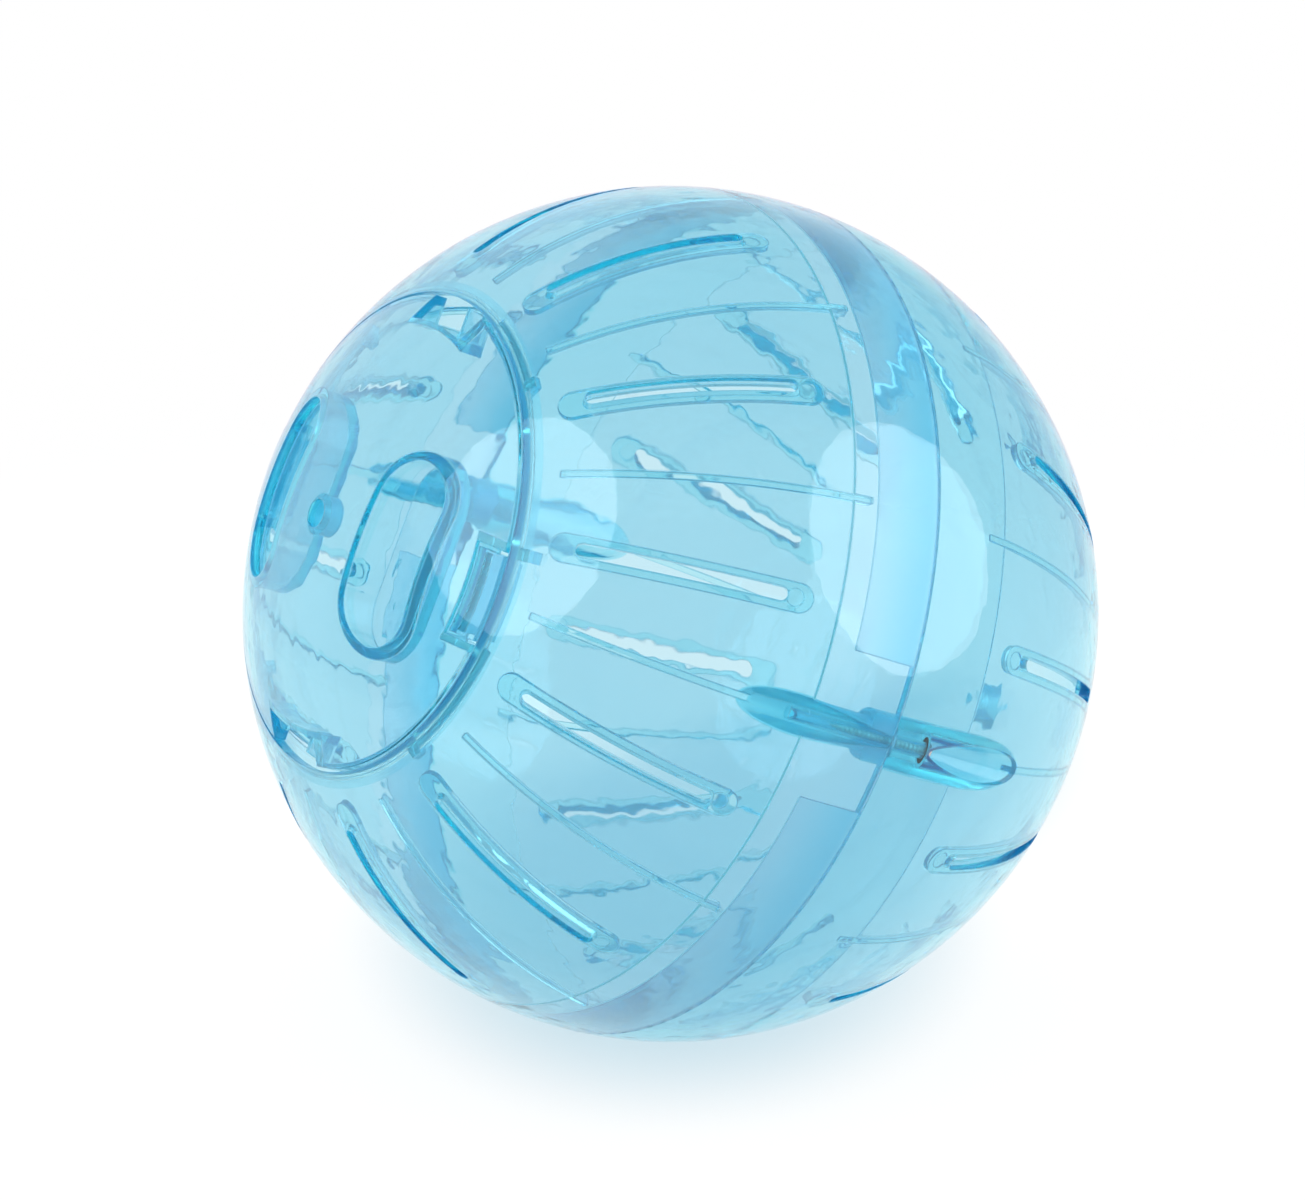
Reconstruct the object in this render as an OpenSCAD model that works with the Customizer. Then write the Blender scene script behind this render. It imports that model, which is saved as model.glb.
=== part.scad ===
// Hamster exercise ball: two clear half shells lapped at the seam and held by
// two long screws, with a twist-lock door in one pole.
// The ball's centre is the origin. The axis through the door runs along Y, the
// door faces -Y, the seam lies in the XZ plane and the two screws lie at +X and -X.

/* [Ball] */
// Outer diameter of the closed ball
ball_d = 180; // [172:2:200]
// Wall thickness of the half shells and the door
wall = 2; // [1.8:0.1:2.3]
// Diameter of the axle hole in each pole
axle_hole_d = 5.9; // [4:0.1:8]
// Wall of the short tube behind each axle hole
axle_tube_t = 1.2; // [0.8:0.1:1.8]
// Depth of that tube from the outer surface of the ball
axle_tube_depth = 5; // [4:0.2:8]

/* [Seam] */
// Width of the lap band on each side of the seam
lap_w = 19.2; // [17:0.2:22]
// Wall that stays outside the lap
lap_wall = 1.1; // [0.9:0.1:1.3]
// Reach of the tongue past the seam
tongue_l = 14; // [10:0.5:15]
// Thickness of the tongue at the seam
tongue_t = 1.4; // [1.2:0.1:1.6]
// Thickness of the tongue at its edge
tongue_edge_t = 0.3; // [0.2:0.05:0.5]
// Clearance between the tongue and the lap
tongue_gap = 0.15; // [0.1:0.05:0.3]
// Break in the tongue at each screw boss
tongue_break_w = 31; // [24:1:38]

/* [Air slots] */
// Number of air slots in each half shell
slot_count = 12; // [8:2:12]
// Width of the opening of a slot
slot_w = 2.9; // [2:0.1:3.6]
// Distance of the slot frames from the lap band
slot_lap_gap = 6.5; // [4:0.5:12]
// Distance of the slot frames from the collar of the door opening
slot_rim_gap = 4.8; // [4.4:0.2:10]
// Wall of the frame beside the opening
slot_frame_t = 1.45; // [1:0.05:1.8]
// Length of the frame past each end of the opening
slot_end_l = 5; // [3:0.2:7]
// Height of the frame above the inner surface
slot_frame_h = 1.2; // [0.6:0.1:1.8]
// Diameter of the round pin mark at a frame's seam end
pin_mark_d = 3.6; // [3:0.1:4]
// Depth of the pin mark
pin_mark_depth = 0.3; // [0.2:0.05:0.4]

/* [Grip ribs] */
// Thickness of a grip rib
rib_t = 1.3; // [0.9:0.1:1.8]
// Height of a grip rib above the inner surface
rib_h = 1; // [0.8:0.1:1.6]
// Distance of the ribs from the tongue's edge
rib_tongue_gap = 1.5; // [1:0.1:5]
// Distance of the ribs from the collar of the door opening
rib_rim_gap = 4.4; // [4:0.2:10]

/* [Screws] */
// Depth of each screw's axis below the outer surface at the seam
screw_inset = 4.4; // [4.3:0.05:4.6]
// Diameter of the screw's shank
screw_d = 2.9; // [2.5:0.1:3.2]
// Length of the screw under its head
screw_l = 22.5; // [18:0.5:24]
// Diameter of the screw's head
screw_head_d = 5.5; // [5:0.1:6]
// Height of the screw's head
screw_head_h = 2.1; // [1.8:0.1:2.4]
// Diameter of the flat on top of the head
screw_head_top_d = 3.8; // [3.4:0.1:4.4]
// Height of the straight side of the head
screw_head_rim_h = 1; // [0.6:0.1:1.4]
// Length of the screw's tapered tip
screw_tip_l = 2.4; // [1.5:0.1:3.5]
// Diameter of the end of the screw's tip
screw_tip_d = 1; // [0.6:0.1:1.4]
// Width across the cross recess in the head
recess_w = 2.8; // [2.2:0.1:3]
// Width of one arm of the cross recess
recess_t = 0.7; // [0.6:0.1:0.9]
// Depth of the cross recess
recess_depth = 1.1; // [0.8:0.1:1.3]

/* [Screw bosses] */
// Diameter of the threaded boss at its free end
boss_tip_d = 7; // [6.6:0.1:7.2]
// Diameter of the threaded boss at its root
boss_root_d = 8.4; // [7.6:0.1:8.6]
// Depth of the pilot hole from the free end
pilot_l = 24.6; // [24:0.2:27]
// Depth to which the threaded boss enters the other half shell
boss_entry = 1; // [0.6:0.1:1.4]
// Diameter of the sleeve at its mouth
sleeve_mouth_d = 10.5; // [10.3:0.1:10.8]
// Diameter of the sleeve at its root
sleeve_root_d = 11.6; // [11.2:0.1:12]
// Reach of the sleeve past the seam
sleeve_reach = 5.3; // [4:0.1:6]
// Chamfer round the mouth of the sleeve
sleeve_chamfer = 0.8; // [0.5:0.1:1]
// Distance of the screw's seat from the seam
seat_y = 9.5; // [8:0.1:10.5]
// Diameter of the driver channel
channel_d = 7.7; // [7.2:0.1:7.8]

/* [Door opening] */
// Diameter of the opening for the door
opening_d = 100.8; // [99:0.2:102]
// Wall of the collar round the opening
collar_t = 1.8; // [1.4:0.1:2.2]
// Depth of the collar below the outer surface
collar_depth = 3; // [2.8:0.1:3.2]
// Width of the ledges inside the collar
ledge_w = 3.6; // [3:0.1:3.8]
// Thickness of a ledge
ledge_t = 1; // [0.9:0.1:1.2]
// Depth of the top of a ledge below the outer surface
ledge_depth = 2.56; // [2.5:0.02:2.7]
// Angle from a spring hook's place to the near end of its ledge
spring_ledge_deg = 11; // [10.8:0.2:13]
// Angle from a plain hook's place to the near end of its ledge
plain_ledge_deg = 15; // [12:0.5:16]
// Width of each end stop
stop_deg = 3; // [2:0.5:4]
// Height of each end stop below its ledge
stop_h = 1.6; // [1.6:0.1:2]
// Width of the return stop
finger_w = 2.2; // [1.6:0.1:2.8]
// Depth of the return stop below the outer surface
finger_depth = 7; // [6.5:0.1:8]

/* [Door] */
// Gap between the door and its opening
rim_gap = 0.7; // [0.5:0.1:1]
// Turn of the door from open to locked
turn_deg = 31; // [27:1:33]
// Wall of the lip under the door's rim
lip_t = 1.5; // [1.2:0.1:1.8]
// Clearance between the door's lip and the ledges
ledge_gap = 0.3; // [0.2:0.05:0.4]
// Length of the hook windows along the rim
window_l = 19.6; // [18.8:0.1:20]
// Radial width of the hook windows
window_w = 5.7; // [5.4:0.1:6]
// Wall round the hook windows
window_wall = 1.6; // [1.4:0.1:1.8]
// Width of the plain hooks
hook_w = 6.5; // [5:0.1:8]
// Width of the hooks under the spring tabs
spring_hook_w = 16.4; // [14:0.2:16.6]
// Reach of the hooks under the ledges
hook_reach = 2; // [1.5:0.1:2.2]
// Thickness of the hooks
hook_t = 1.4; // [1.2:0.1:1.6]
// Clearance between the hooks and what they pass
hook_gap = 0.3; // [0.3:0.05:0.4]
// Slit between a spring tab and the door
tab_slit = 0.8; // [0.6:0.05:0.9]
// Thickness of the web that carries a spring tab
tab_web_t = 1.3; // [1.1:0.1:1.4]

/* [Finger pockets] */
// Length of each finger pocket
pocket_l = 39.5; // [34:0.5:42]
// Width of each finger pocket
pocket_w = 18; // [15:0.5:19]
// Distance of each pocket's middle from the axis through the poles
pocket_offset = 24.6; // [23:0.1:26]
// Depth of the pocket floor below the pole
pocket_depth = 11; // [9:0.2:13]
// Wall round each pocket
pocket_wall = 1.7; // [1.4:0.1:2]
// Thickness of the pocket floor
pocket_floor_t = 1.8; // [1.5:0.1:2.2]

/* [Hidden] */
$fn = 96;
plastic = [0.45, 0.80, 0.92, 0.55];
steel = [0.72, 0.72, 0.74];

// Overrun of every cut past the face that it opens
over = 1;
// Radial clearance of the screw in its pilot hole, and in the sleeve
thread_fit = 0.02;
shank_gap = 0.25;
// Radial clearance of the threaded boss in the sleeve
boss_gap = 0.3;
// Gap left at the seam and at the ends of the threaded bosses
seat_gap = 0.05;
// Angle left between a locked hook and its stop
lock_gap_deg = 0.4;
// Round points of a small feature
fn_small = 48;

ball_r = ball_d / 2;
inner_r = ball_r - wall;
screw_offset = ball_r - screw_inset;
lap_r = ball_r - lap_wall;
tongue_r = lap_r - tongue_gap;
tongue_in_r = tongue_r - tongue_t;
tongue_edge_in_r = sqrt(pow(tongue_r, 2) - pow(tongue_l, 2)) - tongue_edge_t;
mid_wall_r = ball_r - wall / 2;

opening_r = opening_d / 2;
rim_z = sqrt(pow(ball_r, 2) - pow(opening_r, 2));
collar_z = rim_z - collar_depth;
ledge_top_z = rim_z - ledge_depth;
ledge_bottom_z = ledge_top_z - ledge_t;
ledge_in_r = opening_r - ledge_w;
collar_out_r = opening_r + collar_t;

door_r = opening_r - rim_gap;
lip_z = ledge_top_z + ledge_gap;
hook_top_z = ledge_bottom_z - hook_gap;
hook_bottom_z = hook_top_z - hook_t;
hook_tip_r = ledge_in_r + hook_reach;
window_in_r = door_r - window_w;
window_back_r = window_in_r - window_wall;
tab_in_r = window_in_r + tab_slit;
tab_w = window_l - 2 * tab_slit;

slot_seam_deg = asin((lap_w + slot_lap_gap) / ball_r);
slot_pole_deg = acos((collar_out_r + slot_rim_gap) / ball_r);
rib_seam_deg = asin((tongue_l + rib_tongue_gap) / ball_r);
rib_pole_deg = acos((collar_out_r + rib_rim_gap) / ball_r);
slot_mid_deg = (slot_seam_deg + slot_pole_deg) / 2;
frame_l = 2 * ball_r * sin((slot_pole_deg - slot_seam_deg) / 2);
frame_w = slot_w + 2 * slot_frame_t;
opening_l = frame_l - 2 * slot_end_l;
pin_mark_deg = slot_seam_deg + asin(frame_w / 2 / inner_r);
pin_mark_top = inner_r - slot_frame_h + pin_mark_depth;

// Run of a boss from the seam until it has sunk into the wall
function boss_run(d) = sqrt(pow(inner_r, 2) - pow(screw_offset - d / 2, 2)) + wall;

// Half the angle that a hook of width w spans where it enters the ledges
function half_deg(w) = asin(w / 2 / ledge_in_r);

// A stadium outline with its long side along X
module stadium(l, w) {
    square([l - w, w], center = true);
    for (side = [-1, 1])
        translate([side * (l - w) / 2, 0]) circle(d = w, $fn = fn_small);
}

// A ring sector centred on the local Z axis
module sector(r_in, r_out, z_low, z_high, from_deg, to_deg) {
    rotate([0, 0, from_deg])
        rotate_extrude(angle = to_deg - from_deg)
            translate([r_in, z_low]) square([r_out - r_in, z_high - z_low]);
}

// A ring's part within a width across the local X axis
module band(r_in, r_out, z_low, z_high, w) {
    intersection() {
        difference() {
            translate([0, 0, z_low]) cylinder(r = r_out, h = z_high - z_low);
            cylinder(r = r_in, h = ball_d);
        }
        translate([0, -w / 2, 0]) cube([ball_d, w, ball_d]);
    }
}

// What lies between two spheres round the centre
module sphere_layer(r_in, r_out) {
    difference() {
        sphere(r = r_out);
        sphere(r = r_in);
    }
}

// A tall block that keeps only what lies above the seam, past a gap
module above_seam(gap) {
    translate([-ball_d, -ball_d, gap]) cube([2 * ball_d, 2 * ball_d, ball_d]);
}

// Everything at the places of the air slots
module at_slots() {
    for (i = [0 : slot_count - 1])
        rotate([0, 0, (i + 0.5) * 360 / slot_count]) children();
}

// A prism that runs out through the wall along a meridian
module meridian_prism(l, w) {
    rotate([0, 90 - slot_mid_deg, 0])
        translate([0, 0, ball_r / 2])
            linear_extrude(height = ball_r) stadium(l, w);
}

// The raised frames round the air slots
module slot_frames() {
    intersection() {
        sphere_layer(inner_r - slot_frame_h, mid_wall_r);
        at_slots() meridian_prism(frame_l, frame_w);
    }
}

// The openings of the air slots
module slot_openings() {
    at_slots() meridian_prism(opening_l, slot_w);
}

// The round marks that the mould's pins leave on the frames
module pin_marks() {
    at_slots()
        rotate([0, 90 - pin_mark_deg, 0])
            translate([0, 0, ball_r / 2])
                cylinder(d = pin_mark_d, h = pin_mark_top - ball_r / 2, $fn = fn_small);
}

// The fine ribs between the air slots, which give the animal grip
module grip_ribs() {
    intersection() {
        sphere_layer(inner_r - rib_h, mid_wall_r);
        for (i = [0 : slot_count - 1])
            rotate([0, 0, i * 360 / slot_count])
                rotate([90, 0, 0])
                    linear_extrude(height = rib_t, center = true)
                        polygon([[0, 0],
                                 [ball_d * cos(rib_seam_deg), ball_d * sin(rib_seam_deg)],
                                 [ball_d * cos(rib_pole_deg), ball_d * sin(rib_pole_deg)]]);
    }
}

// Everything at the places of the two screws
module at_screws() {
    for (side = [0, 180])
        rotate([0, 0, side]) translate([screw_offset, 0, 0]) children();
}

// The hole for an axle in the pole
module axle_hole() {
    cylinder(d = axle_hole_d, h = ball_d, $fn = fn_small);
}

// The short tube that guides the axle
module axle_tube() {
    intersection() {
        sphere(r = mid_wall_r);
        translate([0, 0, ball_r - axle_tube_depth])
            cylinder(d = axle_hole_d + 2 * axle_tube_t, h = ball_r, $fn = fn_small);
    }
}

// Where the four hooks pass, with the spring hooks first
module at_hooks() {
    for (quarter = [0 : 3])
        rotate([0, 0, quarter * 90]) children(quarter % 2);
}

// One ledge with the stop that ends a hook's travel
module ledge(w, start_deg) {
    end_deg = turn_deg + half_deg(w) + lock_gap_deg;
    sector(ledge_in_r, collar_out_r, ledge_bottom_z, ledge_top_z,
           -end_deg - stop_deg, -start_deg);
    sector(ledge_in_r, collar_out_r, ledge_bottom_z - stop_h, ledge_top_z,
           -end_deg - stop_deg, -end_deg);
}

// The finger that stops a hook of width w from turning the wrong way
module return_stop(w) {
    start_deg = half_deg(w) + lock_gap_deg;
    span_deg = finger_w / ledge_in_r * 180 / PI;
    sector(ledge_in_r, collar_out_r, rim_z - finger_depth, ledge_top_z,
           start_deg, start_deg + span_deg);
}

// The collar of the door opening, with its ledges and stops
module collar() {
    intersection() {
        sphere(r = mid_wall_r);
        difference() {
            translate([0, 0, collar_z]) cylinder(r = collar_out_r, h = ball_r - collar_z);
            cylinder(r = opening_r, h = ball_d);
        }
    }
    at_hooks() {
        union() {
            ledge(spring_hook_w, spring_ledge_deg);
            return_stop(spring_hook_w);
        }
        ledge(hook_w, plain_ledge_deg);
    }
}

// A threaded boss, which grows thicker from its tip to the wall
module threaded_boss() {
    run = boss_run(boss_root_d);
    translate([0, 0, -boss_entry])
        cylinder(d1 = boss_tip_d, d2 = boss_root_d, h = run + boss_entry, $fn = fn_small);
}

// The half shell that carries the door, with its pole at +Z
module door_half_local() {
    difference() {
        union() {
            difference() {
                intersection() {
                    sphere_layer(inner_r, ball_r);
                    above_seam(0);
                }
                intersection() {
                    sphere(r = lap_r);
                    translate([0, 0, -over]) cylinder(r = ball_d, h = lap_w + over);
                }
                cylinder(r = opening_r, h = ball_d);
            }
            slot_frames();
            grip_ribs();
            intersection() {
                sphere(r = ball_r);
                at_screws() threaded_boss();
            }
            collar();
        }
        slot_openings();
        pin_marks();
        at_screws()
            translate([0, 0, -boss_entry - over])
                cylinder(d = screw_d + 2 * thread_fit, h = pilot_l + over, $fn = fn_small);
    }
}

// The outside of a sleeve, which takes the tip of a threaded boss
module sleeve_body() {
    run = boss_run(sleeve_root_d);
    translate([0, 0, -sleeve_reach])
        cylinder(d1 = sleeve_mouth_d - 2 * sleeve_chamfer, d2 = sleeve_mouth_d,
                 h = sleeve_chamfer, $fn = fn_small);
    translate([0, 0, sleeve_chamfer - sleeve_reach])
        cylinder(d1 = sleeve_mouth_d, d2 = sleeve_root_d,
                 h = run + sleeve_reach - sleeve_chamfer, $fn = fn_small);
}

// The socket, the screw hole and the driver channel of a sleeve
module sleeve_bores() {
    translate([0, 0, -sleeve_reach - over])
        cylinder(d = boss_tip_d + 2 * boss_gap,
                 h = sleeve_reach + over + boss_entry + seat_gap, $fn = fn_small);
    cylinder(d = screw_d + 2 * shank_gap, h = seat_y + over, $fn = fn_small);
    translate([0, 0, seat_y]) cylinder(d = channel_d, h = ball_r, $fn = fn_small);
}

// A thick tube whose bore leaves the tongue thin at its edge
module tongue_tube() {
    difference() {
        cylinder(r = ball_r, h = tongue_l);
        cylinder(r1 = tongue_edge_in_r, r2 = tongue_in_r, h = tongue_l);
    }
}

// The plain half shell, with its pole at +Z and its tongue below the seam
module far_half_local() {
    difference() {
        union() {
            intersection() {
                sphere_layer(inner_r, ball_r);
                above_seam(seat_gap);
            }
            difference() {
                union() {
                    intersection() {
                        sphere_layer(tongue_in_r, tongue_r);
                        cylinder(r = ball_d, h = lap_w);
                    }
                    intersection() {
                        sphere(r = tongue_r);
                        translate([0, 0, -tongue_l]) tongue_tube();
                    }
                }
                for (side = [0, 180])
                    rotate([0, 0, side])
                        translate([0, -tongue_break_w / 2, -ball_d])
                            cube([ball_d, tongue_break_w, ball_d]);
            }
            slot_frames();
            grip_ribs();
            axle_tube();
            intersection() {
                union() {
                    sphere(r = tongue_r);
                    intersection() {
                        sphere(r = ball_r);
                        above_seam(seat_gap);
                    }
                }
                at_screws() sleeve_body();
            }
        }
        slot_openings();
        pin_marks();
        at_screws() sleeve_bores();
        axle_hole();
    }
}

// The walls round one window
module window_walls() {
    band(window_back_r, door_r, lip_z, ball_r, window_l + 2 * window_wall);
}

// One hook of width w on a web from stem_in_r to stem_out_r
module hook(stem_in_r, stem_out_r, w) {
    band(stem_in_r, stem_out_r, hook_bottom_z, ball_r, w);
    band(stem_in_r, hook_tip_r, hook_bottom_z, hook_top_z, w);
}

// The clear space of a window above its hook
module window_space() {
    band(window_in_r, ball_r, hook_top_z, ball_d, window_l);
}

// A spring tab, which fills a window and carries the middle of its hook
module spring_tab() {
    intersection() {
        sphere_layer(inner_r, ball_r);
        band(tab_in_r, door_r, 0, ball_r, tab_w);
    }
    intersection() {
        sphere(r = mid_wall_r);
        union() {
            band(tab_in_r, tab_in_r + tab_web_t, hook_bottom_z, ball_r, spring_hook_w);
            band(door_r - lip_t, door_r, lip_z, ball_r, tab_w);
        }
    }
}

// Everything at the places of the two finger pockets
module at_pockets() {
    for (side = [-1, 1])
        translate([side * pocket_offset, 0, ball_r - pocket_depth])
            rotate([0, 0, 90]) children();
}

// The door, with its pole at +Z
module door_local() {
    difference() {
        union() {
            intersection() {
                sphere_layer(inner_r, ball_r);
                cylinder(r = door_r, h = ball_d);
            }
            intersection() {
                sphere(r = mid_wall_r);
                union() {
                    difference() {
                        translate([0, 0, lip_z]) cylinder(r = door_r, h = ball_r - lip_z);
                        cylinder(r = door_r - lip_t, h = ball_d);
                    }
                    at_hooks() {
                        union() {
                            window_walls();
                            hook(window_back_r, window_in_r, spring_hook_w);
                        }
                        union() {
                            window_walls();
                            hook(window_back_r, window_in_r, hook_w);
                        }
                    }
                    at_pockets()
                        translate([0, 0, -pocket_floor_t])
                            linear_extrude(height = pocket_depth + pocket_floor_t)
                                stadium(pocket_l + 2 * pocket_wall, pocket_w + 2 * pocket_wall);
                }
            }
            axle_tube();
        }
        at_hooks() {
            window_space();
            window_space();
        }
        at_pockets()
            linear_extrude(height = pocket_depth + over) stadium(pocket_l, pocket_w);
        axle_hole();
    }
    for (side = [0, 180])
        rotate([0, 0, side]) spring_tab();
}

// A pan-head screw with a cross recess, with its head's seat at the origin
module screw() {
    difference() {
        union() {
            translate([0, 0, -screw_l])
                cylinder(d1 = screw_tip_d, d2 = screw_d, h = screw_tip_l, $fn = fn_small);
            translate([0, 0, screw_tip_l - screw_l])
                cylinder(d = screw_d, h = screw_l - screw_tip_l, $fn = fn_small);
            cylinder(d = screw_head_d, h = screw_head_rim_h, $fn = fn_small);
            translate([0, 0, screw_head_rim_h])
                cylinder(d1 = screw_head_d, d2 = screw_head_top_d,
                         h = screw_head_h - screw_head_rim_h, $fn = fn_small);
        }
        for (arm = [0, 90])
            rotate([0, 0, arm])
                translate([-recess_w / 2, -recess_t / 2, screw_head_h - recess_depth])
                    cube([recess_w, recess_t, recess_depth + over]);
    }
}

// One screw in its place beside the seam
module placed_screw(side) {
    translate([side * screw_offset, seat_y, 0]) rotate([-90, 0, 0]) screw();
}

// Half shell with the door opening, towards -Y
module door_half_shell() {
    color(plastic) rotate([90, 0, 0]) door_half_local();
}

// Plain half shell with the tongue and the driver channels, towards +Y
module far_half_shell() {
    color(plastic) rotate([-90, 0, 0]) far_half_local();
}

// Twist-lock door in its open place, as the ball is closed before the turn
module door() {
    color(plastic) rotate([90, 0, 0]) door_local();
}

// Screw on the +X side
module screw_right() {
    color(steel) placed_screw(1);
}

// Screw on the -X side
module screw_left() {
    color(steel) placed_screw(-1);
}

door_half_shell();
far_half_shell();
door();
screw_right();
screw_left();
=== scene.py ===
"""Clear blue hamster exercise ball on a white table.

Two lapped half shells of tinted clear plastic with air slots, a twist-lock
door in one pole, and a steel screw at each side of the seam.
"""

import logging
import math
from dataclasses import dataclass, field
from enum import Enum
from typing import Any, Sequence

import bpy
from mathutils import Matrix, Vector


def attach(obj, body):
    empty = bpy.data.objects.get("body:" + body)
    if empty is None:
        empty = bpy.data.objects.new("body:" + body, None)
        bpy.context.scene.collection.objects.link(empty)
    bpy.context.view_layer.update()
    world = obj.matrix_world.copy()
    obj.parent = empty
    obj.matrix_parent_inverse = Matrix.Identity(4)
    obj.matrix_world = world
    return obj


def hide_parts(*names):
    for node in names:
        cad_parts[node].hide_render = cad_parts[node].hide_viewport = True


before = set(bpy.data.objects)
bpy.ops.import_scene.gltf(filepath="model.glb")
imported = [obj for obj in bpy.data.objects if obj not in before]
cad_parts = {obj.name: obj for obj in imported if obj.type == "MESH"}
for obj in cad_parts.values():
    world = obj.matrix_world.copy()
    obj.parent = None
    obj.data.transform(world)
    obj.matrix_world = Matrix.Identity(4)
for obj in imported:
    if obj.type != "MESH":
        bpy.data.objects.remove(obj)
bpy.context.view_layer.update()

log = logging.getLogger("hamster_ball")

MM = 0.001
BALL_R = 0.09
SLACK = 0.1 * MM

Colour = tuple[float, float, float]
Ramp = tuple[float, float]


class Sock:
    """A shader socket that takes part in Python expressions."""

    def __init__(self, graph: "Graph", out: Any) -> None:
        """Keep the graph and the output socket."""
        self.graph = graph
        self.out = out

    def _math(self, operation: str, *values: Any) -> "Sock":
        """Add one Math node over the given values."""
        return self.graph.node(
            "ShaderNodeMath", {"operation": operation}, dict(enumerate(values))
        )

    def __add__(self, other: Any) -> "Sock":
        """Add a number or a socket."""
        return self._math("ADD", self, other)

    __radd__ = __add__

    def __sub__(self, other: Any) -> "Sock":
        """Subtract a number or a socket."""
        return self._math("SUBTRACT", self, other)

    def __rsub__(self, other: Any) -> "Sock":
        """Subtract this socket from a number."""
        return self._math("SUBTRACT", other, self)

    def __mul__(self, other: Any) -> "Sock":
        """Multiply by a number or a socket."""
        return self._math("MULTIPLY", self, other)

    __rmul__ = __mul__

    def __truediv__(self, other: Any) -> "Sock":
        """Divide by a number or a socket."""
        return self._math("DIVIDE", self, other)

    def between(self, low: float, high: float) -> "Sock":
        """Rise smoothly from 0 at low to 1 at high.

        Args:
            low: The value that gives 0.
            high: The value that gives 1.

        Returns:
            The socket that holds the smooth step.
        """
        return self.graph.node(
            "ShaderNodeMapRange",
            {"interpolation_type": "SMOOTHSTEP"},
            {"Value": self, "From Min": low, "From Max": high},
        )


class Graph:
    """The node tree of one material or world."""

    def __init__(self, tree: bpy.types.NodeTree) -> None:
        """Start from an empty tree."""
        self.tree = tree
        tree.nodes.clear()

    def feed(self, target: bpy.types.NodeSocket, value: Any) -> None:
        """Link a socket to an input, or set the input's own value.

        Args:
            target: The input.
            value: A socket, number, vector or colour.
        """
        if isinstance(value, Sock):
            self.tree.links.new(value.out, target)
        elif target.type == "RGBA":
            target.default_value = (*value, 1.0)
        else:
            target.default_value = value

    def node(
        self, kind: str, settings: dict[str, Any], inputs: dict[Any, Any], output: Any = 0
    ) -> Sock:
        """Add a node, set it up and link what feeds it.

        Args:
            kind: The node's type.
            settings: Its own settings, set before its sockets.
            inputs: The value or link of each socket, by name or number.
            output: The name or number of the socket that is returned.

        Returns:
            The output socket.
        """
        made = self.tree.nodes.new(kind)
        for name, value in settings.items():
            setattr(made, name, value)
        for name, value in inputs.items():
            self.feed(made.inputs[name], value)
        return Sock(self, made.outputs[output])

    def end(self, kind: str, inputs: dict[str, Sock]) -> None:
        """Add an output node and link what ends in it."""
        made = self.tree.nodes.new(kind)
        for name, value in inputs.items():
            self.feed(made.inputs[name], value)

    def place(self) -> Sock:
        """Object coordinates."""
        return self.node("ShaderNodeTexCoord", {}, {}, "Object")

    def vector(self, operation: str, *values: Any, output: str = "Vector") -> Sock:
        """Add one Vector Math node over the given vectors."""
        return self.node(
            "ShaderNodeVectorMath", {"operation": operation}, dict(enumerate(values)), output
        )

    def dot(self, first: Sock, second: Any) -> Sock:
        """The dot product of two vectors."""
        return self.vector("DOT_PRODUCT", first, second, output="Value")

    def length(self, vector: Sock) -> Sock:
        """The length of a vector."""
        return self.vector("LENGTH", vector, output="Value")

    def ray(self, output: str) -> Sock:
        """One of the tests on the kind of ray that arrives."""
        return self.node("ShaderNodeLightPath", {}, {}, output)

    def noise(self, scale: float, detail: float, roughness: float = 0.5) -> Sock:
        """A noise pattern over the object.

        Args:
            scale: How fine the pattern is, per metre.
            detail: Its octaves.
            roughness: How strongly the finer octaves show.

        Returns:
            The pattern's value, about 0 to 1.
        """
        return self.node(
            "ShaderNodeTexNoise",
            {},
            {"Vector": self.place(), "Scale": scale, "Detail": detail, "Roughness": roughness},
            "Fac",
        )

    def blend(self, share: Any, first: Any, second: Any) -> Sock:
        """Mix two colours.

        Args:
            share: The second colour's share.
            first: The colour at 0.
            second: The colour at 1.

        Returns:
            The mixed colour.
        """
        factor, colour_a, colour_b, result = 0, 6, 7, 2
        return self.node(
            "ShaderNodeMix",
            {"data_type": "RGBA"},
            {factor: share, colour_a: first, colour_b: second},
            result,
        )

    def mix(self, share: Any, first: Sock, second: Sock) -> Sock:
        """Mix two shaders."""
        return self.node("ShaderNodeMixShader", {}, {0: share, 1: first, 2: second})


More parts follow.
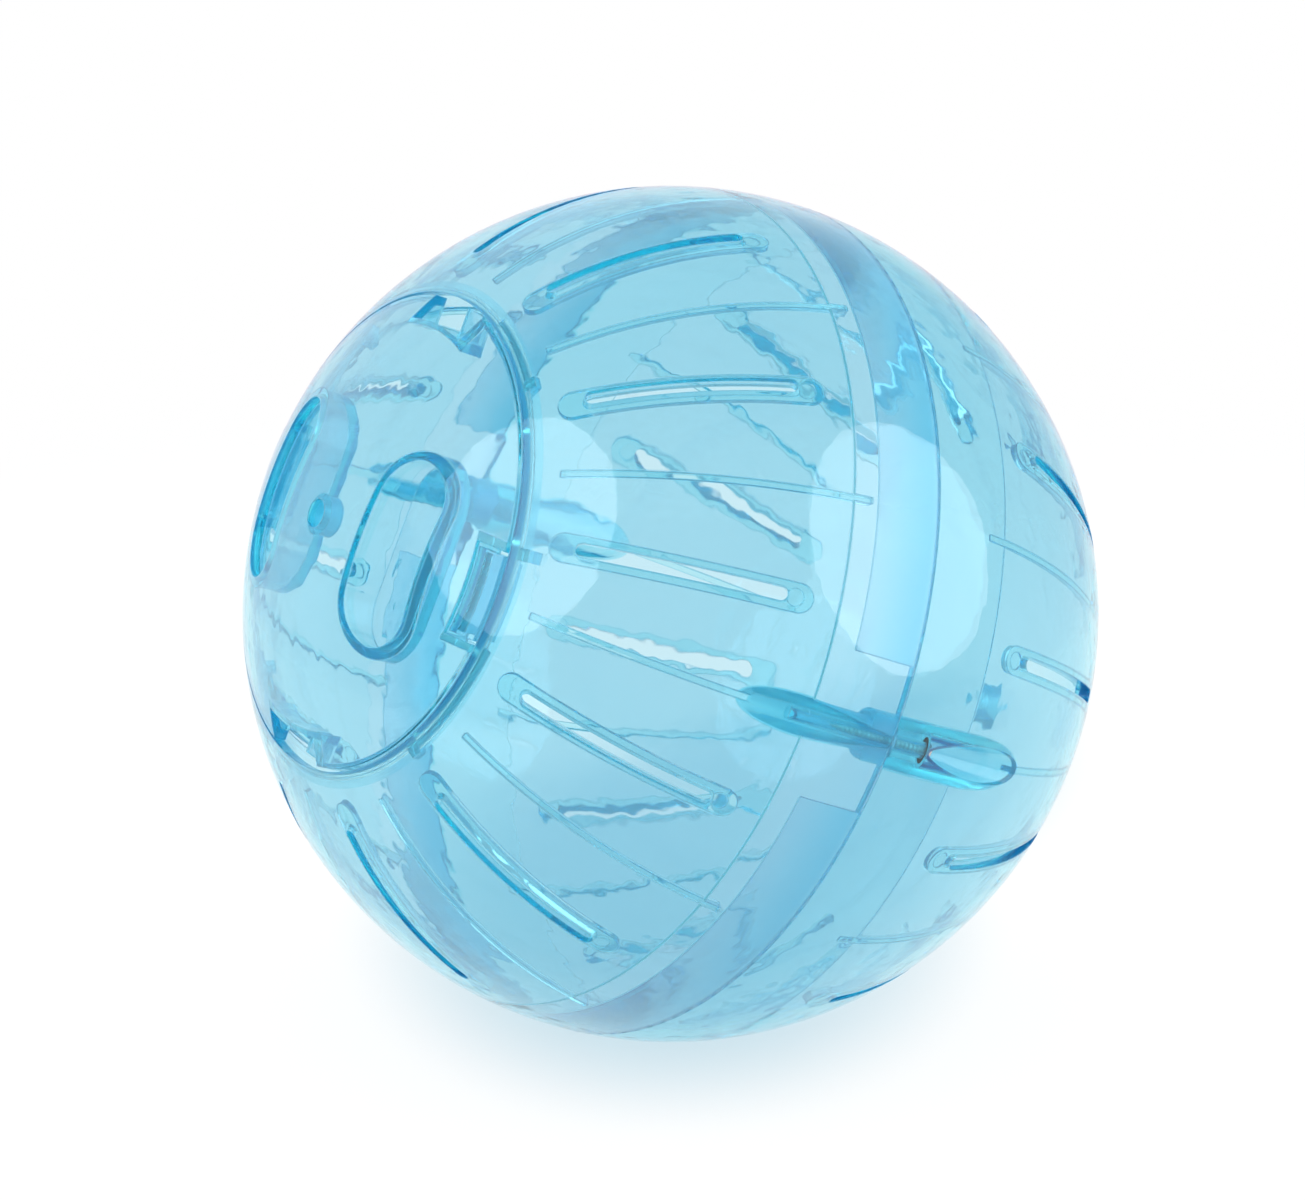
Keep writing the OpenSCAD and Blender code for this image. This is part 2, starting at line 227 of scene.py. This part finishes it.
@dataclass(frozen=True)
class ClearPlastic:
    """Tinted clear moulded plastic, solid all through."""

    name: str = "clear_blue_plastic"
    tint: Colour = (0.064, 0.912, 0.960)
    density: float = 125.0
    ior: float = 1.57
    shadow_tint: Colour = (0.80, 0.93, 0.97)

    face_tint: Colour = (0.76, 0.85, 0.915)
    face_tint_pale: Colour = (0.78, 0.86, 0.92)
    flow: tuple[float, float] = (18.0, 3.0)
    pale: Ramp = (0.35, 0.70)
    gloss: float = 0.004
    smear: tuple[float, float, float] = (140.0, 4.0, 0.6)
    smeared: Ramp = (0.50, 0.85)
    smear_gloss: float = 0.035
    ripple_h: float = 0.045 * MM
    ripple: tuple[float, float] = (190.0, 1.0)

    edge_r: float = 0.45 * MM
    edge_samples: int = 4
    edge_bend: Ramp = (0.75, 0.98)
    # Painted shade: a darker blue tint along the rounded edges, for dark outlines.
    painted_edge_shade_tint: Colour = (0.07, 0.48, 0.68)
    painted_edge_shade_share: float = 0.85

    blur: float = 0.2 * MM
    raised_r: Ramp = (BALL_R - 3.70 * MM, BALL_R - 3.40 * MM)
    frame_r: Ramp = (BALL_R - 2.85 * MM, BALL_R - 2.75 * MM)
    frame_tint: Colour = (0.28, 0.74, 0.81)
    frame_share: float = 0.40

    tongue_r: Ramp = (BALL_R - 1.60 * MM, BALL_R - 1.50 * MM)
    tongue_tint: Colour = (0.20, 0.69, 0.80)
    tongue_l: float = 14.0 * MM
    tongue_in_r: float = 88.40 * MM
    tongue_out_r: float = 88.76 * MM
    lap_w: float = 19.2 * MM
    lap_in_r: float = 87.98 * MM
    lap_out_r: float = 88.90 * MM
    mate_slack: Ramp = (0.04 * MM, 0.08 * MM)
    mate_haze: float = 0.10
    mate_colour: Colour = (0.16, 0.60, 0.80)
    step_blur: float = 0.02 * MM
    step_haze: float = 0.85
    step_colour: Colour = (0.58, 0.87, 0.94)

    haze: float = 0.025
    haze_colour: Colour = (0.32, 0.72, 0.84)
    haze_roughness: float = 0.7
    haze_specular: float = 0.2

    boss_tint: Colour = (0.25, 0.74, 0.86)
    boss_haze: float = 0.26
    boss_haze_colour: Colour = (0.14, 0.66, 0.83)
    boss_gloss: float = 0.22
    boss_offset: float = 85.6 * MM
    boss_r: float = 4.35 * MM
    sleeve_r: float = 5.9 * MM
    sleeve_reach: float = 5.4 * MM
    seat: Ramp = (9.0 * MM, 9.5 * MM)
    bore_r: float = 4.0 * MM
    bore_clear: float = 0.80
    bore_wall: float = 0.50
    tube_r: float = 4.4 * MM
    hooks_r: Ramp = (41.5 * MM, 41.8 * MM)
    hooks_share: float = 0.2
    collar_in_r: float = 50.1 * MM
    collar_out_r: float = 52.4 * MM
    collar_share: float = 0.55
    collar_front: Ramp = (55.0 * MM, 60.0 * MM)
    under_skin: Ramp = (BALL_R - 0.70 * MM, BALL_R - 0.30 * MM)
    under_wall: Ramp = (BALL_R - 2.50 * MM, BALL_R - 2.20 * MM)

    def forward(self, g: Graph) -> Sock:
        """How far a point lies from the seam towards the door."""
        return g.dot(g.place(), (0, -1, 0))

    def bosses(self, g: Graph, flat: Sock) -> Sock:
        """Mark the screw bosses and sleeves, and spare most of the driver channels.

        Args:
            g: The material's graph.
            flat: The place of a point, seen along the ball's axis.

        Returns:
            A socket that is 1 on the bosses and 0 elsewhere.
        """
        forward = self.forward(g)
        aside = g.vector("ABSOLUTE", flat)
        off = g.vector("DISTANCE", aside, (self.boss_offset, 0, 0), output="Value")
        slim = forward.between(self.sleeve_reach, self.sleeve_reach + self.blur)
        reach = self.sleeve_r - slim * (self.sleeve_r - self.boss_r)
        boss = (reach - off).between(-self.blur / 2, self.blur / 2)
        channel = (0.0 - forward).between(*self.seat)
        wall = off.between(self.bore_r, self.bore_r + self.blur) * self.bore_wall
        return boss * (1.0 - channel * (self.bore_clear - wall))

    def thick_parts(self, g: Graph) -> Sock:
        """Mark the screw bosses, the axle tubes and the door's collar, which look less clear.

        Args:
            g: The material's graph.

        Returns:
            A socket that is 1 on them and 0 on the thin walls.
        """
        flat = g.vector("MULTIPLY", g.place(), (1, 0, 1))
        off_axis = g.length(flat)
        height = g.length(g.place())
        tube = 1.0 - off_axis.between(self.tube_r - self.blur, self.tube_r + self.blur)
        collar = off_axis.between(self.collar_in_r - self.blur, self.collar_in_r)
        hooks = off_axis.between(*self.hooks_r) * (1.0 - collar)
        deep = 1.0 - height.between(*self.under_wall)
        rim = (collar * self.collar_share + hooks * deep * self.hooks_share) * (
            1.0 - off_axis.between(self.collar_out_r, self.collar_out_r + self.blur)
        )
        front = self.forward(g).between(*self.collar_front)
        inside = 1.0 - height.between(*self.under_skin)
        return (self.bosses(g, flat) + tube + rim * front) * inside

    def matt_steps(self, g: Graph) -> Sock:
        """Mark the end faces of the lap and of the tongue, which the tool left matt.

        Args:
            g: The material's graph.

        Returns:
            A socket that is 1 on those faces and 0 elsewhere.
        """
        height = g.length(g.place())
        blur = self.step_blur
        steps = 0.0
        for edge, low, high in (
            (self.lap_w, self.lap_in_r, self.lap_out_r),
            (self.tongue_l, self.tongue_in_r, self.tongue_out_r),
        ):
            off = g.node("ShaderNodeMath", {"operation": "ABSOLUTE"}, {0: self.forward(g) - edge})
            in_height = height.between(low, low + blur) * (
                1.0 - height.between(high, high + blur)
            )
            steps = steps + in_height * (1.0 - off.between(blur, 2 * blur))
        return steps

    def along_tongue(self, g: Graph) -> Sock:
        """Fall from 1 at the seam to 0 at the tongue's edge."""
        forward = self.forward(g)
        past_seam = forward.between(-self.blur / 2, self.blur / 2)
        return past_seam * (1.0 - forward.between(0.0, self.tongue_l))

    def mating_faces(self, g: Graph) -> Sock:
        """Mark the faces of the lap and the tongue that meet in the seam.

        Args:
            g: The material's graph.

        Returns:
            A socket that falls from 1 at the seam to 0 at the tongue's edge.
        """
        height = g.length(g.place())
        near, far = self.mate_slack
        over_tongue = height.between(self.tongue_out_r - far, self.tongue_out_r - near)
        under_lap = 1.0 - height.between(self.lap_out_r + near, self.lap_out_r + far)
        return over_tongue * under_lap * self.along_tongue(g)

    def raised_parts(self, g: Graph) -> tuple[Sock, Sock]:
        """Mark the slot frames with the ribs, and the inner side of the tongue.

        Args:
            g: The material's graph.

        Returns:
            Two sockets that are 1 on the frames and ribs, and 1 on the tongue.
        """
        height = g.length(g.place())
        raised = height.between(*self.raised_r)
        frames = 1.0 - height.between(*self.frame_r)
        tongue = (1.0 - height.between(*self.tongue_r)) * self.along_tongue(g)
        return raised * frames, raised * (1.0 - frames) * tongue

    def face_colour(self, g: Graph, thick: Sock, rounded: Sock) -> Sock:
        """Tint the faces: plain walls, then frames, tongue, painted shade on the rounded edges,
        and thick parts.

        Args:
            g: The material's graph.
            thick: Where the thick parts are.
            rounded: The normal with its edges rounded.

        Returns:
            The colour that light takes at a face.
        """
        pale = g.noise(*self.flow).between(*self.pale)
        frames, tongue = self.raised_parts(g)
        straight = g.node("ShaderNodeNewGeometry", {}, {}, "Normal")
        # Painted shade: faces darken towards blue where the rounded normal bends away from the
        # flat one.
        edge = (1.0 - g.dot(rounded, straight).between(*self.edge_bend)) * self.painted_edge_shade_share
        colour = g.blend(pale, self.face_tint, self.face_tint_pale)
        colour = g.blend(frames * self.frame_share, colour, self.frame_tint)
        colour = g.blend(tongue, colour, self.tongue_tint)
        colour = g.blend(edge * (1.0 - thick), colour, self.painted_edge_shade_tint)
        return g.blend(thick, colour, self.boss_tint)

    def clear(self, g: Graph, thick: Sock) -> Sock:
        """Make the clear share of the plastic.

        Args:
            g: The material's graph.
            thick: Where the thick parts are.

        Returns:
            The shader of the polished faces.
        """
        rounded = g.node(
            "ShaderNodeBevel", {"samples": self.edge_samples}, {"Radius": self.edge_r}, "Normal"
        )
        smear = g.noise(*self.smear).between(*self.smeared)
        ripple = {
            "Strength": 1.0,
            "Distance": self.ripple_h,
            "Height": g.noise(*self.ripple),
            "Normal": rounded,
        }
        return g.node(
            "ShaderNodeBsdfPrincipled",
            {},
            {
                "Base Color": self.face_colour(g, thick, rounded),
                "Roughness": self.gloss + smear * self.smear_gloss + thick * self.boss_gloss,
                "IOR": self.ior,
                "Transmission Weight": 1.0,
                "Normal": g.node("ShaderNodeBump", {}, ripple, "Normal"),
            },
        )

    def build(self) -> bpy.types.Material:
        """Make the material.

        Returns:
            The material, with absorption inside and moulding ripple on its faces.
        """
        material = bpy.data.materials.new(self.name)
        material.use_nodes = True
        g = Graph(material.node_tree)
        thick, step, mate = self.thick_parts(g), self.matt_steps(g), self.mating_faces(g)
        milk = g.blend(thick, self.haze_colour, self.boss_haze_colour)
        milk = g.blend(mate, milk, self.mate_colour)
        milky = g.node(
            "ShaderNodeBsdfPrincipled",
            {},
            {
                "Base Color": g.blend(step, milk, self.step_colour),
                "Roughness": self.haze_roughness,
                "Specular IOR Level": self.haze_specular,
            },
        )
        haze = self.haze + thick * (self.boss_haze - self.haze) + mate * self.mate_haze
        share = haze + step * (self.step_haze - haze)
        body = g.mix(share, self.clear(g, thick), milky)
        through = g.node("ShaderNodeBsdfTransparent", {}, {"Color": self.shadow_tint})
        surface = g.mix(g.ray("Is Shadow Ray"), body, through)
        inside = g.node(
            "ShaderNodeVolumeAbsorption", {}, {"Color": self.tint, "Density": self.density}
        )
        g.end("ShaderNodeOutputMaterial", {"Surface": surface, "Volume": inside})
        return material


@dataclass(frozen=True)
class PlatedSteel:
    """Zinc-plated steel of the screws."""

    name: str = "plated_steel"
    light: Colour = (0.80, 0.73, 0.69)
    dark: Colour = (0.56, 0.49, 0.46)
    grain: tuple[float, float] = (2600.0, 3.0)
    dulled: Ramp = (0.35, 0.75)
    roughness: float = 0.22
    grain_roughness: float = 0.22
    grain_h: float = 0.02 * MM
    grain_strength: float = 0.4

    def build(self) -> bpy.types.Material:
        """Make the material.

        Returns:
            The material, with drawn streaks and a dulled plating.
        """
        material = bpy.data.materials.new(self.name)
        material.use_nodes = True
        g = Graph(material.node_tree)
        grain = g.noise(*self.grain)
        streaks = {"Strength": self.grain_strength, "Distance": self.grain_h, "Height": grain}
        body = g.node(
            "ShaderNodeBsdfPrincipled",
            {},
            {
                "Base Color": g.blend(grain.between(*self.dulled), self.light, self.dark),
                "Metallic": 1.0,
                "Roughness": self.roughness + grain * self.grain_roughness,
                "Normal": g.node("ShaderNodeBump", {}, streaks, "Normal"),
            },
        )
        g.end("ShaderNodeOutputMaterial", {"Surface": body})
        return material


@dataclass(frozen=True)
class ShadowSpot:
    """One soft oval of painted shadow on the table, as seen from the ball's foot."""

    across: float
    along: float
    half_w: float
    half_l: float
    turn_deg: float


@dataclass(frozen=True)
class TableTop:
    """White table that fades into the white backdrop, with the ball's shadow painted into its
    glow.
    """

    name: str = "white_table_with_painted_shadow"
    paint: Colour = (0.11, 0.11, 0.11)
    paint_worn: Colour = (0.10835, 0.10835, 0.10835)
    grain: tuple[float, float] = (400.0, 3.0)
    roughness: float = 0.9
    lift: float = 0.89
    open_light: Colour = (1.0, 1.0, 1.0)
    # Painted shadow: the glow's colour inside the shadow ovals; the second oval lies behind and
    # to the right, where the table is seen through the ball.
    under: Colour = (0.60, 0.76, 0.84)
    shadow_spots: tuple[ShadowSpot, ...] = (
        ShadowSpot(0.0, 0.060, 0.072, 0.120, 0.0),
        ShadowSpot(0.030, 0.118, 0.058, 0.115, 25.0),
    )
    shadow_spot_edge: Ramp = (0.15, 1.15)
    fade: Ramp = (0.34, 0.50)

    def painted_shade(self, g: Graph, side: Vector, back: Vector) -> Sock:
        """The painted shadow: soft long ovals put into the table's glow, where the ball would
        throw its shadow away from the camera.

        Args:
            g: The material's graph.
            side: The table's direction to the camera's right.
            back: The table's direction away from the camera.

        Returns:
            A socket that is 1 in the painted shadow and 0 on the open table.
        """
        across, along = (g.dot(g.place(), tuple(axis)) for axis in (side, back))
        lit = 1.0
        for spot in self.shadow_spots:
            right, away = across - spot.across, along - spot.along
            turn = math.radians(spot.turn_deg)
            wide = (right * math.cos(turn) - away * math.sin(turn)) / spot.half_w
            deep = (right * math.sin(turn) + away * math.cos(turn)) / spot.half_l
            lit = (wide * wide + deep * deep).between(*self.shadow_spot_edge) * lit
        return 1.0 - lit

    def build(self, side: Vector, back: Vector) -> bpy.types.Material:
        """Make the material.

        Args:
            side: The table's direction to the camera's right.
            back: The table's direction away from the camera.

        Returns:
            The material, matt in the middle and clear at its rim, with a painted shadow in its
            glow.
        """
        material = bpy.data.materials.new(self.name)
        material.use_nodes = True
        g = Graph(material.node_tree)
        # Painted shadow: the table's glow turns to the under colour inside the shadow ovals.
        glow_with_painted_shadow = g.blend(self.painted_shade(g, side, back), self.open_light, self.under)
        matt = g.node(
            "ShaderNodeBsdfPrincipled",
            {},
            {
                "Base Color": g.blend(g.noise(*self.grain), self.paint, self.paint_worn),
                "Roughness": self.roughness,
                "Specular IOR Level": 0.0,
                "Emission Color": glow_with_painted_shadow,
                "Emission Strength": self.lift,
            },
        )
        rim = g.length(g.place()).between(*self.fade)
        below = g.node("ShaderNodeNewGeometry", {}, {}, "Backfacing")
        gone = 1.0 - (1.0 - rim) * (1.0 - below)
        clear = g.node("ShaderNodeBsdfTransparent", {}, {})
        g.end("ShaderNodeOutputMaterial", {"Surface": g.mix(gone, matt, clear)})
        return material


def nothing_selected() -> None:
    """Deselect every object."""
    bpy.ops.object.select_all(action="DESELECT")


def only(obj: bpy.types.Object) -> None:
    """Select one object alone and make it active."""
    nothing_selected()
    obj.select_set(True)
    bpy.context.view_layer.objects.active = obj


def apply_all(obj: bpy.types.Object) -> None:
    """Apply every modifier of an object, in order."""
    only(obj)
    for modifier in list(obj.modifiers):
        bpy.ops.object.modifier_apply(modifier=modifier.name)


def join(first: bpy.types.Object, others: Sequence[bpy.types.Object]) -> bpy.types.Object:
    """Join meshes into the first one.

    Args:
        first: The object that stays.
        others: The objects that go into it.

    Returns:
        The joined object.
    """
    only(first)
    for obj in others:
        obj.select_set(True)
    bpy.ops.object.join()
    return first


def dress(obj: bpy.types.Object, material: bpy.types.Material) -> None:
    """Give every slot of an object one material."""
    if not obj.material_slots:
        obj.data.materials.append(material)
    for slot in obj.material_slots:
        slot.material = material


def select_faces(obj: bpy.types.Object, low: float, high: float, up: float) -> None:
    """Enter edit mode with the flat faces of one height and direction selected.

    Args:
        obj: The mesh object.
        low: The lowest height of a face's centre, in metres.
        high: The highest height.
        up: The sign of the face normal along Z.
    """
    straight_enough = 0.9
    only(obj)
    bpy.ops.object.mode_set(mode="EDIT")
    bpy.ops.mesh.select_mode(type="FACE")
    bpy.ops.mesh.select_all(action="DESELECT")
    bpy.ops.object.mode_set(mode="OBJECT")
    for face in obj.data.polygons:
        face.select = low <= face.center.z <= high and face.normal.z * up > straight_enough
    bpy.ops.object.mode_set(mode="EDIT")


@dataclass
class Shells:
    """The two half shells and the door, all of one clear plastic."""

    finish: ClearPlastic = field(default_factory=ClearPlastic)
    nodes: tuple[str, ...] = ("door_half_shell", "far_half_shell", "door")

    def build(self) -> list[bpy.types.Object]:
        """Dress the moulded pieces.

        Returns:
            The dressed objects.
        """
        material = self.finish.build()
        pieces = [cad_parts[name] for name in self.nodes]
        for piece in pieces:
            dress(piece, material)
        return pieces


class Side(Enum):
    """The two sides of the ball that have a screw."""

    RIGHT = 1
    LEFT = -1


@dataclass
class Screws:
    """The two self-tapping screws that hold the half shells together."""

    finish: PlatedSteel = field(default_factory=PlatedSteel)
    offset: float = 85.6 * MM
    seat_y: float = 9.5 * MM
    length: float = 22.5 * MM
    smooth_deg: float = 35.0

    core_r: float = 1.08 * MM
    core_sides: int = 48
    tip_l: float = 3.0 * MM
    tip_steps: tuple[tuple[float, float], ...] = ((0.55, 0.72), (0.45, 0.12))

    crest_r: float = 1.43 * MM
    pitch: float = 1.06 * MM
    root_share: float = 0.93
    flank_share: float = 0.26
    start_share: float = 0.6
    runout_share: float = 0.45
    turn_steps: int = 32
    merge: float = 1e-7

    head_r: float = 2.75 * MM
    head_h: float = 2.1 * MM
    head_sides: int = 64
    head_bevel: float = 0.85 * MM
    bevel_steps: int = 5
    bevel_profile: float = 0.55
    recess_w: float = 2.8 * MM
    recess_t: float = 0.7 * MM
    recess_depth: float = 1.1 * MM
    recess_taper: float = 0.55

    def cut_recess(self, head: bpy.types.Object, turn: float) -> None:
        """Cut one tapered slot of the cross into the head.

        Args:
            head: The head.
            turn: The slot's turn about the screw's axis, in radians.
        """
        bpy.ops.mesh.primitive_cube_add(
            size=1, location=(0, 0, self.head_h), rotation=(0, 0, turn)
        )
        cutter = bpy.context.active_object
        cutter.scale = (self.recess_w, self.recess_t, 2 * self.recess_depth)
        only(cutter)
        bpy.ops.object.transform_apply(location=True, rotation=True, scale=True)
        select_faces(cutter, -1, self.head_h, -1)
        bpy.ops.transform.resize(value=(self.recess_taper, self.recess_taper, 1))
        bpy.ops.object.mode_set(mode="OBJECT")
        cut = head.modifiers.new("recess", "BOOLEAN")
        cut.operation = "DIFFERENCE"
        cut.solver = "EXACT"
        cut.object = cutter
        apply_all(head)
        bpy.data.objects.remove(cutter)

    def head(self) -> bpy.types.Object:
        """Model the pan head with its cross recess.

        Returns:
            The head, with its seat at Z = 0.
        """
        nothing_selected()
        bpy.ops.mesh.primitive_cylinder_add(
            vertices=self.head_sides,
            radius=self.head_r,
            depth=self.head_h,
            location=(0, 0, self.head_h / 2),
        )
        head = bpy.context.active_object
        bpy.ops.object.transform_apply(location=True)
        select_faces(head, self.head_h - SLACK, self.head_h + SLACK, 1)
        bpy.ops.mesh.bevel(
            offset=self.head_bevel,
            segments=self.bevel_steps,
            profile=self.bevel_profile,
            affect="EDGES",
        )
        bpy.ops.object.mode_set(mode="OBJECT")
        for turn in (0.0, math.pi / 2):
            self.cut_recess(head, turn)
        return head

    def shank(self) -> bpy.types.Object:
        """Model the core with its point.

        Returns:
            The shank, from Z = 0 down to the tip.
        """
        nothing_selected()
        straight = self.length - self.tip_l
        bpy.ops.mesh.primitive_cylinder_add(
            vertices=self.core_sides,
            radius=self.core_r,
            depth=straight,
            location=(0, 0, -straight / 2),
        )
        shank = bpy.context.active_object
        bpy.ops.object.transform_apply(location=True)
        select_faces(shank, -straight - SLACK, -straight + SLACK, -1)
        for share, scale in self.tip_steps:
            bpy.ops.mesh.extrude_region_move(
                TRANSFORM_OT_translate={"value": (0, 0, -self.tip_l * share)}
            )
            bpy.ops.transform.resize(value=(scale, scale, 1))
        bpy.ops.object.mode_set(mode="OBJECT")
        return shank

    def thread(self) -> bpy.types.Object:
        """Wind the thread's ridge round the core.

        Returns:
            The ridge as a closed helical band.
        """
        nothing_selected()
        bpy.ops.mesh.primitive_circle_add(
            vertices=3, radius=self.pitch / 4, fill_type="NGON", rotation=(math.pi / 2, 0, 0)
        )
        ridge = bpy.context.active_object
        bpy.ops.object.transform_apply(rotation=True)
        root, flank = self.core_r * self.root_share, self.pitch * self.flank_share
        top = -self.pitch * self.start_share
        points = ((self.crest_r, 0.0), (root, -flank), (root, flank))
        for vertex, (x, z) in zip(ridge.data.vertices, points):
            vertex.co = (x, 0.0, top + z)
        wind = ridge.modifiers.new("wind", "SCREW")
        wind.axis = "Z"
        wind.angle = -2 * math.pi
        wind.screw_offset = -self.pitch
        wind.iterations = int((self.length - self.tip_l * self.runout_share) / self.pitch) - 1
        wind.steps = wind.render_steps = self.turn_steps
        wind.use_merge_vertices = False
        apply_all(ridge)
        bpy.ops.object.mode_set(mode="EDIT")
        bpy.ops.mesh.select_all(action="SELECT")
        bpy.ops.mesh.remove_doubles(threshold=self.merge)
        bpy.ops.mesh.normals_make_consistent(inside=False)
        bpy.ops.object.mode_set(mode="OBJECT")
        return ridge

    def build(self) -> list[bpy.types.Object]:
        """Model one screw, copy it to the other side and seat both.

        Returns:
            The two screws.
        """
        material = self.finish.build()
        first = join(self.head(), [self.shank(), self.thread()])
        only(first)
        bpy.ops.object.shade_smooth_by_angle(angle=math.radians(self.smooth_deg))
        second = first.copy()
        second.data = first.data.copy()
        bpy.context.scene.collection.objects.link(second)
        pieces = [first, second]
        for side, piece in zip(Side, pieces):
            piece.name = f"screw_{side.name.lower()}_steel"
            piece.location = (side.value * self.offset, self.seat_y, 0)
            piece.rotation_euler = (-math.pi / 2, 0, 0)
            only(piece)
            bpy.ops.object.transform_apply(location=True, rotation=True, scale=True)
            dress(piece, material)
            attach(piece, "ball")
            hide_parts(f"screw_{side.name.lower()}")
        return pieces


@dataclass(frozen=True)
class SoftBox:
    """An oval lamp that faces the ball, placed as seen from the camera."""

    name: str
    direction: tuple[float, float, float]
    distance: float
    width: float
    height: float
    radiance: float
    in_gloss: bool = True


@dataclass
class Studio:
    """The table, the lamps, the white surroundings and the camera."""

    toward: Vector = field(default_factory=lambda: Vector((0.8235, -0.5553, 0.1187)))
    right: Vector = field(default_factory=lambda: Vector((0.4896, 0.7999, 0.3470)))
    up: Vector = field(default_factory=lambda: Vector((-0.2875, -0.2277, 0.9297)))
    distance: float = 1.3653
    lens: float = 178.9
    sensor: float = 36.0
    shift: tuple[float, float] = (-0.01379, 0.01088)
    clip_end: float = 20.0
    bounces: int = 64
    clear_bounces: int = 32

    tilt_deg: float = 18.0
    table_r: float = 0.6
    table_sides: int = 96
    table_gap: float = 0.2 * MM

    white: Colour = (1.0, 1.0, 1.0)
    wall: Colour = (0.92, 0.84, 0.90)
    room: Colour = (0.49, 0.59, 0.66)
    room_ahead: Ramp = (-0.50, 0.60)
    darkness: float = 0.7
    dark_direction: tuple[float, float, float] = (0.57, 0.74, -0.35)
    dark_edge: Ramp = (0.55, 0.95)
    boxes: tuple[SoftBox, ...] = (
        SoftBox("softbox_right", (0.874, 0.252, 0.418), 0.95, 0.95, 1.00, 1.7),
        SoftBox("softbox_left", (-0.606, 0.362, 0.708), 0.95, 0.85, 0.95, 1.7),
        SoftBox("softbox_top", (0.0, 0.94, 0.30), 1.1, 1.4, 1.2, 0.9, False),
    )

    def table_up(self) -> Vector:
        """The direction away from the table."""
        tilt = math.radians(self.tilt_deg)
        return (self.up * math.cos(tilt) + self.toward * math.sin(tilt)).normalized()

    def along(self, direction: tuple[float, float, float]) -> Vector:
        """Turn a direction given as seen from the camera (right, up, near) into the frame's."""
        x, y, z = direction
        return (self.right * x + self.up * y + self.toward * z).normalized()

    def table(self) -> None:
        """Lay the table top under the ball."""
        nothing_selected()
        bpy.ops.mesh.primitive_circle_add(
            vertices=self.table_sides, radius=self.table_r, fill_type="TRIFAN"
        )
        top = bpy.context.active_object
        top.name = "table_top"
        normal = self.table_up()
        top.rotation_mode = "QUATERNION"
        top.rotation_quaternion = Vector((0, 0, 1)).rotation_difference(normal)
        top.location = -normal * (BALL_R + self.table_gap)
        turn_back = top.rotation_quaternion.inverted()
        side, back = turn_back @ self.right, turn_back @ -self.toward
        dress(top, TableTop().build(side, back))

    def lamps(self) -> None:
        """Hang the lamps round the ball."""
        for box in self.boxes:
            away = self.along(box.direction)
            data = bpy.data.lights.new(box.name, "AREA")
            data.shape = "ELLIPSE"
            data.size, data.size_y = box.width, box.height
            data.energy = box.radiance * math.pi * math.pi / 4 * box.width * box.height
            lamp = bpy.data.objects.new(box.name, data)
            bpy.context.scene.collection.objects.link(lamp)
            side = self.up.cross(away).normalized()
            over = away.cross(side)
            turn = Matrix((side, over, away)).transposed().to_4x4()
            lamp.matrix_world = Matrix.Translation(away * box.distance) @ turn
            lamp.visible_camera = False
            lamp.visible_glossy = box.in_gloss
            lamp.visible_transmission = box.in_gloss

    def surroundings(self) -> None:
        """Make the backdrop white and the camera's side of the room darker."""
        world = bpy.data.worlds.new("white_studio")
        world.use_nodes = True
        g = Graph(world.node_tree)
        toward = g.node("ShaderNodeTexCoord", {}, {}, "Generated")
        ahead = g.dot(toward, tuple(-self.toward))
        dark = g.dot(toward, tuple(self.along(self.dark_direction)))
        open_room = ahead.between(*self.room_ahead) * (
            1.0 - dark.between(*self.dark_edge) * self.darkness
        )
        seen = (g.ray("Is Camera Ray") + g.ray("Is Diffuse Ray")).between(0.0, 1.0)
        share = 1.0 - (1.0 - seen) * (1.0 - open_room)
        mirrored = g.ray("Is Glossy Ray") * (1.0 - g.ray("Is Transmission Ray"))
        colour = g.blend(share, self.room, g.blend(mirrored, self.white, self.wall))
        light = g.node("ShaderNodeBackground", {}, {"Color": colour, "Strength": 1.0})
        g.end("ShaderNodeOutputWorld", {"Surface": light})
        bpy.context.scene.world = world

    def camera(self) -> None:
        """Set the camera at the photograph's viewing angle."""
        data = bpy.data.cameras.new("camera")
        data.lens, data.sensor_width = self.lens, self.sensor
        data.shift_x, data.shift_y = self.shift
        data.clip_end = self.clip_end
        camera = bpy.data.objects.new("camera", data)
        bpy.context.scene.collection.objects.link(camera)
        turn = Matrix((self.right, self.up, self.toward)).transposed().to_4x4()
        camera.matrix_world = Matrix.Translation(self.toward * self.distance) @ turn
        bpy.context.scene.camera = camera

    def build(self) -> None:
        """Set up the whole studio."""
        self.table()
        self.lamps()
        self.surroundings()
        self.camera()
        scene = bpy.context.scene
        scene.view_settings.view_transform = "Standard"
        scene.cycles.max_bounces = self.bounces
        scene.cycles.transmission_bounces = self.bounces
        scene.cycles.glossy_bounces = self.bounces
        scene.cycles.transparent_max_bounces = self.clear_bounces


def main() -> None:
    """Build the ball and its studio, and report each piece."""
    logging.basicConfig(level=logging.INFO, format="%(name)s: %(message)s")
    for assembly in (Shells(), Screws()):
        for piece in assembly.build():
            log.info("%s: %d faces", piece.name, len(piece.data.polygons))
    Studio().build()


if __name__ == "__main__":
    main()
